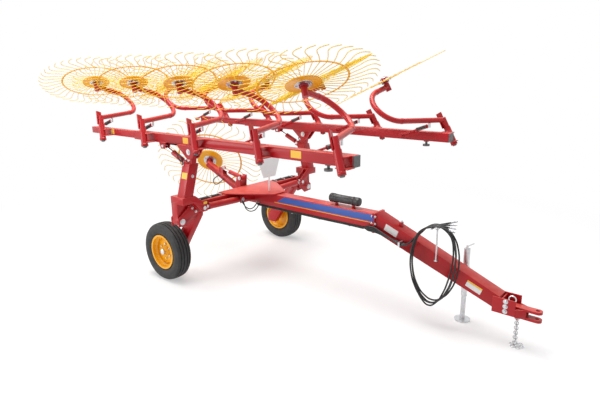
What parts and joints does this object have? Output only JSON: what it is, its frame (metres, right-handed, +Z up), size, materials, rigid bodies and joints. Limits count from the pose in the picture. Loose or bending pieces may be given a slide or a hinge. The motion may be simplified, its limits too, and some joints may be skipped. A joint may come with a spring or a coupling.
{
  "type": "carted wheel rake",
  "caption": "Trailed hay rake on a two-wheeled cart, wings folded up for the road, with tined wheels on swan-neck arms, a kicker wheel and a parking jack.",
  "frame": {"origin": "on the ground under the middle of the whole machine, in its plane of symmetry", "axes": "+X forward to the hitch, +Y to the machine's left, +Z up"},
  "size_m": [6.3298, 2.788, 2.5851],
  "materials": {
    "red_paint": "gloss red enamel",
    "yellow_paint": "gloss yellow enamel",
    "zinc": "zinc plated",
    "chrome": "polished rod",
    "black_rubber": "matt black rubber",
    "tyre": "ribbed implement tyre",
    "black_plastic": "moulded black",
    "grey_metal": "blank sheet, pale grey"
  },
  "bodies": {
    "chassis": {"main_frame": "red_paint", "top_gusset": "red_paint", "drawbar": "red_paint", "hitch_clevis": "red_paint", "side_arm_right": "red_paint", "side_arm_left": "red_paint", "wheel_leg_right": "red_paint", "wheel_leg_left": "red_paint", "kicker_mount": "red_paint", "document_tube": "black_plastic", "warning_panel": "grey_metal", "hose_holder": "zinc", "hose_run": "black_rubber", "hose_1": "black_rubber", "hose_2": "black_rubber", "hose_3": "black_rubber", "hose_4": "black_rubber", "hose_couplers": "zinc", "safety_chain": "zinc"},
    "jack": {"jack_tube": "zinc"},
    "jack_leg": {"jack_leg": "zinc"},
    "road_wheel_right": {"rim_right": "yellow_paint", "tyre_right": "tyre"},
    "post_right": {"post_right": "red_paint"},
    "beam_right": {"beam_right": "red_paint", "rake_arms_right": "red_paint", "arm_springs_right": "red_paint", "beam_trim_right": "black_plastic"},
    "fold_barrel_right": {"fold_barrel_right": "red_paint"},
    "fold_rod_right": {"fold_rod_right": "chrome"},
    "swing_barrel_right": {"swing_barrel_right": "red_paint"},
    "swing_rod_right": {"swing_rod_right": "chrome"},
    "rake_wheel_right_1": {"rake_wheel_right_1": "yellow_paint"},
    "rake_wheel_right_2": {"rake_wheel_right_2": "yellow_paint"},
    "rake_wheel_right_3": {"rake_wheel_right_3": "yellow_paint"},
    "rake_wheel_right_4": {"rake_wheel_right_4": "yellow_paint"},
    "rake_wheel_right_5": {"rake_wheel_right_5": "yellow_paint"},
    "road_wheel_left": {"rim_left": "yellow_paint", "tyre_left": "tyre"},
    "post_left": {"post_left": "red_paint"},
    "beam_left": {"beam_left": "red_paint", "rake_arms_left": "red_paint", "arm_springs_left": "red_paint", "beam_trim_left": "black_plastic"},
    "fold_barrel_left": {"fold_barrel_left": "red_paint"},
    "fold_rod_left": {"fold_rod_left": "chrome"},
    "swing_barrel_left": {"swing_barrel_left": "red_paint"},
    "swing_rod_left": {"swing_rod_left": "chrome"},
    "rake_wheel_left_1": {"rake_wheel_left_1": "yellow_paint"},
    "rake_wheel_left_2": {"rake_wheel_left_2": "yellow_paint"},
    "rake_wheel_left_3": {"rake_wheel_left_3": "yellow_paint"},
    "rake_wheel_left_4": {"rake_wheel_left_4": "yellow_paint"},
    "rake_wheel_left_5": {"rake_wheel_left_5": "yellow_paint"},
    "kicker_arm": {"kicker_arm": "red_paint"},
    "kicker_barrel": {"kicker_barrel": "red_paint"},
    "kicker_rod": {"kicker_rod": "chrome"},
    "kicker_wheel": {"kicker_wheel": "yellow_paint"}
  },
  "joints": [
    {"name": "road_wheel_right_spin", "type": "hinge", "parent": "chassis", "child": "road_wheel_right", "pos_m": [-0.7338, -1, 0.345], "axis": [0, 1, 0], "continuous": true},
    {"name": "wing_right_fold", "type": "hinge", "parent": "chassis", "child": "post_right", "pos_m": [-0.3488, -1.09, 0.8], "axis": [1, 0, 0], "range_deg": [0, 90]},
    {"name": "beam_right_swing", "type": "hinge", "parent": "post_right", "child": "beam_right", "pos_m": [-0.2138, -0.95, 1.565], "axis": [0, -1, 0], "range_deg": [0, 30]},
    {"name": "fold_barrel_right_turn", "type": "hinge", "parent": "chassis", "child": "fold_barrel_right", "pos_m": [-0.2248, -0.262, 0.905], "axis": [1, 0, 0], "range_deg": [-6.12, 0]},
    {"name": "fold_rod_right_slide", "type": "slide", "parent": "fold_barrel_right", "child": "fold_rod_right", "axis": [0, -0.9994, 0.034], "range_m": [0, 0.37417]},
    {"name": "swing_barrel_right_turn", "type": "hinge", "parent": "post_right", "child": "swing_barrel_right", "pos_m": [-0.3478, -0.95, 1.435], "axis": [0, -1, 0], "range_deg": [0, 40.85]},
    {"name": "swing_rod_right_slide", "type": "slide", "parent": "swing_barrel_right", "child": "swing_rod_right", "axis": [-0.9126, 0, 0.4088], "range_m": [-0.07196, 0]},
    {"name": "rake_wheel_right_1_spin", "type": "hinge", "parent": "beam_right", "child": "rake_wheel_right_1", "pos_m": [-2.51758, -0.70645, 2.2723], "axis": [-0.3872, 0.2111, 0.8975], "continuous": true},
    {"name": "rake_wheel_right_2_spin", "type": "hinge", "parent": "beam_right", "child": "rake_wheel_right_2", "pos_m": [-1.60358, -0.70645, 2.2723], "axis": [-0.3872, 0.2111, 0.8975], "continuous": true},
    {"name": "rake_wheel_right_3_spin", "type": "hinge", "parent": "beam_right", "child": "rake_wheel_right_3", "pos_m": [-0.68958, -0.70645, 2.2723], "axis": [-0.3872, 0.2111, 0.8975], "continuous": true},
    {"name": "rake_wheel_right_4_spin", "type": "hinge", "parent": "beam_right", "child": "rake_wheel_right_4", "pos_m": [0.22442, -0.70645, 2.2723], "axis": [-0.3872, 0.2111, 0.8975], "continuous": true},
    {"name": "rake_wheel_right_5_spin", "type": "hinge", "parent": "beam_right", "child": "rake_wheel_right_5", "pos_m": [1.13842, -0.70645, 2.2723], "axis": [-0.3872, 0.2111, 0.8975], "continuous": true},
    {"name": "road_wheel_left_spin", "type": "hinge", "parent": "chassis", "child": "road_wheel_left", "pos_m": [-0.7338, 1, 0.345], "axis": [0, 1, 0], "continuous": true},
    {"name": "wing_left_fold", "type": "hinge", "parent": "chassis", "child": "post_left", "pos_m": [-0.3488, 1.09, 0.8], "axis": [-1, 0, 0], "range_deg": [0, 90]},
    {"name": "beam_left_swing", "type": "hinge", "parent": "post_left", "child": "beam_left", "pos_m": [-0.2138, 0.95, 1.565], "axis": [0, -1, 0], "range_deg": [0, 30]},
    {"name": "fold_barrel_left_turn", "type": "hinge", "parent": "chassis", "child": "fold_barrel_left", "pos_m": [-0.2248, 0.262, 0.905], "axis": [-1, 0, 0], "range_deg": [-6.12, 0]},
    {"name": "fold_rod_left_slide", "type": "slide", "parent": "fold_barrel_left", "child": "fold_rod_left", "axis": [0, 0.9994, 0.034], "range_m": [0, 0.37417]},
    {"name": "swing_barrel_left_turn", "type": "hinge", "parent": "post_left", "child": "swing_barrel_left", "pos_m": [-0.3478, 0.95, 1.435], "axis": [0, -1, 0], "range_deg": [0, 40.85]},
    {"name": "swing_rod_left_slide", "type": "slide", "parent": "swing_barrel_left", "child": "swing_rod_left", "axis": [-0.9126, 0, 0.4088], "range_m": [-0.07196, 0]},
    {"name": "rake_wheel_left_1_spin", "type": "hinge", "parent": "beam_left", "child": "rake_wheel_left_1", "pos_m": [-2.51758, 0.70645, 2.2723], "axis": [-0.3872, -0.2111, 0.8975], "continuous": true},
    {"name": "rake_wheel_left_2_spin", "type": "hinge", "parent": "beam_left", "child": "rake_wheel_left_2", "pos_m": [-1.60358, 0.70645, 2.2723], "axis": [-0.3872, -0.2111, 0.8975], "continuous": true},
    {"name": "rake_wheel_left_3_spin", "type": "hinge", "parent": "beam_left", "child": "rake_wheel_left_3", "pos_m": [-0.68958, 0.70645, 2.2723], "axis": [-0.3872, -0.2111, 0.8975], "continuous": true},
    {"name": "rake_wheel_left_4_spin", "type": "hinge", "parent": "beam_left", "child": "rake_wheel_left_4", "pos_m": [0.22442, 0.70645, 2.2723], "axis": [-0.3872, -0.2111, 0.8975], "continuous": true},
    {"name": "rake_wheel_left_5_spin", "type": "hinge", "parent": "beam_left", "child": "rake_wheel_left_5", "pos_m": [1.13842, 0.70645, 2.2723], "axis": [-0.3872, -0.2111, 0.8975], "continuous": true},
    {"name": "kicker_lift", "type": "hinge", "parent": "chassis", "child": "kicker_arm", "pos_m": [-0.5138, 0, 0.925], "axis": [0, -1, 0], "range_deg": [0, 45]},
    {"name": "kicker_barrel_turn", "type": "hinge", "parent": "chassis", "child": "kicker_barrel", "pos_m": [-0.4658, 0, 1.09], "axis": [0, -1, 0], "range_deg": [0, 38.04]},
    {"name": "kicker_rod_slide", "type": "slide", "parent": "kicker_barrel", "child": "kicker_rod", "axis": [-0.9799, 0, 0.1997], "range_m": [0, 0.12063]},
    {"name": "kicker_wheel_spin", "type": "hinge", "parent": "kicker_arm", "child": "kicker_wheel", "pos_m": [-1.14081, 0.05232, 1.237], "axis": [-0.5, 0.7071, 0.5], "continuous": true},
    {"name": "jack_swing", "type": "hinge", "parent": "chassis", "child": "jack", "pos_m": [2.4112, 0.17, 0.56], "axis": [0, 1, 0], "range_deg": [0, 90]},
    {"name": "jack_screw", "type": "slide", "parent": "jack", "child": "jack_leg", "axis": [0, 0, 1], "range_m": [0, 0.2]}
  ],
  "couplings": [
    {"joint": "beam_right_swing", "follows": "wing_right_fold", "ratio": 0.33333},
    {"joint": "fold_barrel_right_turn", "follows": "wing_right_fold", "ratio": -0.067941},
    {"joint": "fold_rod_right_slide", "follows": "wing_right_fold", "m_per_rad": 0.23821},
    {"joint": "swing_barrel_right_turn", "follows": "wing_right_fold", "ratio": 0.45385},
    {"joint": "swing_rod_right_slide", "follows": "wing_right_fold", "m_per_rad": -0.045811},
    {"joint": "beam_left_swing", "follows": "wing_left_fold", "ratio": 0.33333},
    {"joint": "fold_barrel_left_turn", "follows": "wing_left_fold", "ratio": -0.067941},
    {"joint": "fold_rod_left_slide", "follows": "wing_left_fold", "m_per_rad": 0.23821},
    {"joint": "swing_barrel_left_turn", "follows": "wing_left_fold", "ratio": 0.45385},
    {"joint": "swing_rod_left_slide", "follows": "wing_left_fold", "m_per_rad": -0.045811},
    {"joint": "kicker_barrel_turn", "follows": "kicker_lift", "ratio": 0.84535},
    {"joint": "kicker_rod_slide", "follows": "kicker_lift", "m_per_rad": 0.15359}
  ]
}
